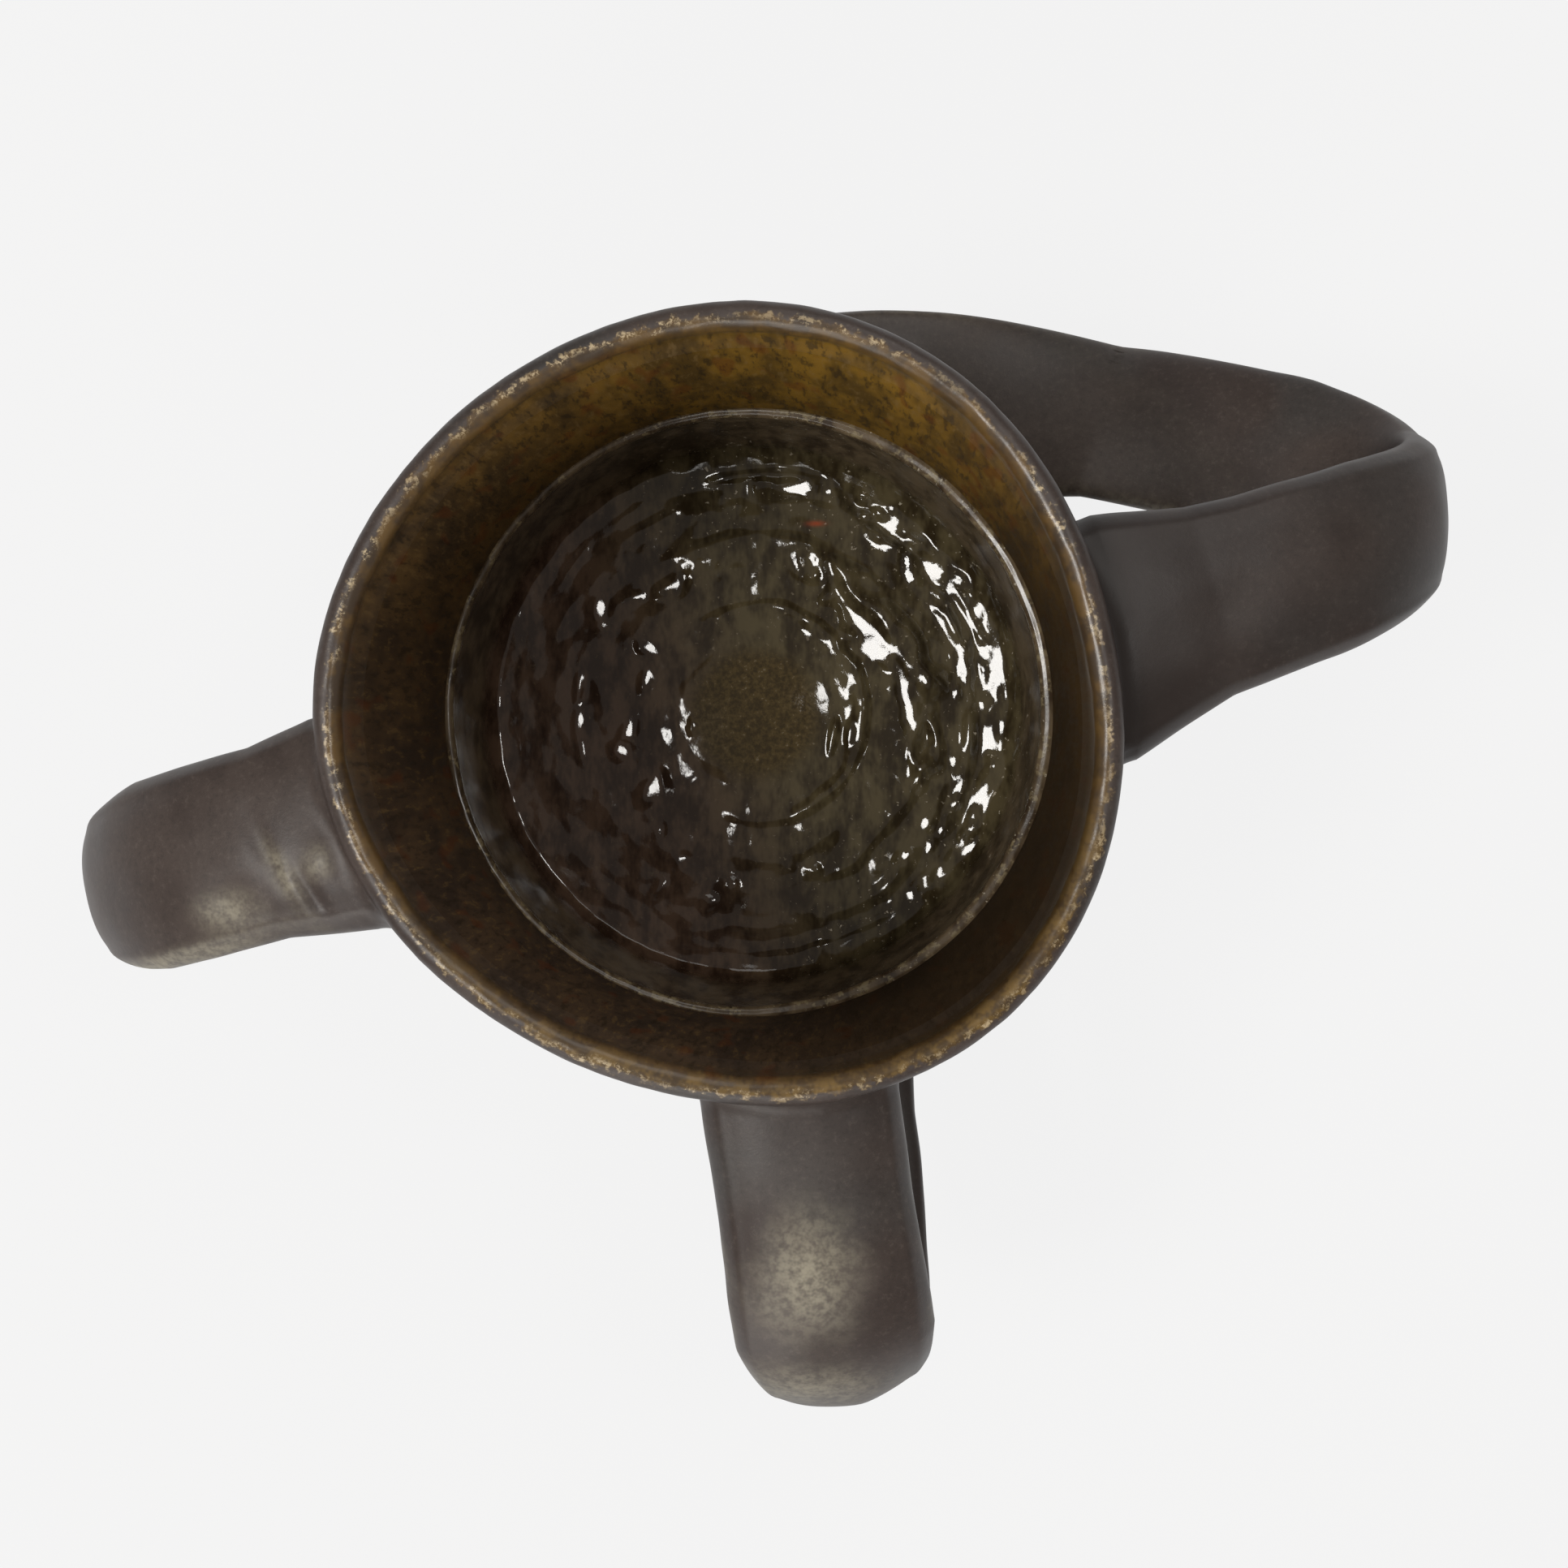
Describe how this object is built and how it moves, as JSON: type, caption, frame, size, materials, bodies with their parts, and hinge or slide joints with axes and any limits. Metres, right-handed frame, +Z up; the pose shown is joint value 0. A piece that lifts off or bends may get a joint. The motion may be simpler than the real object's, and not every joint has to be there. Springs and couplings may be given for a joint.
{
  "type": "multi-handled mug",
  "caption": "Wheel-thrown stoneware mug with an out-of-round lip and pulled strap handles spaced round its wall; one handle is larger and twists round the wall on its way down.",
  "frame": {"origin": "on the pot's axis, in the plane that the foot ring stands on", "axes": "+Z up along the axis of the pot; +X and -Y point near two of the handles: the plain front handle lies near -Y, the plain left handle near -X and the root of the large twisted handle near +X"},
  "size_m": [0.1649, 0.1354, 0.09],
  "materials": {
    "glaze": "dark grey-brown satin glaze outside, glossy amber to olive-brown glaze inside"
  },
  "bodies": {
    "root": {"mug": "glaze"}
  },
  "joints": []
}
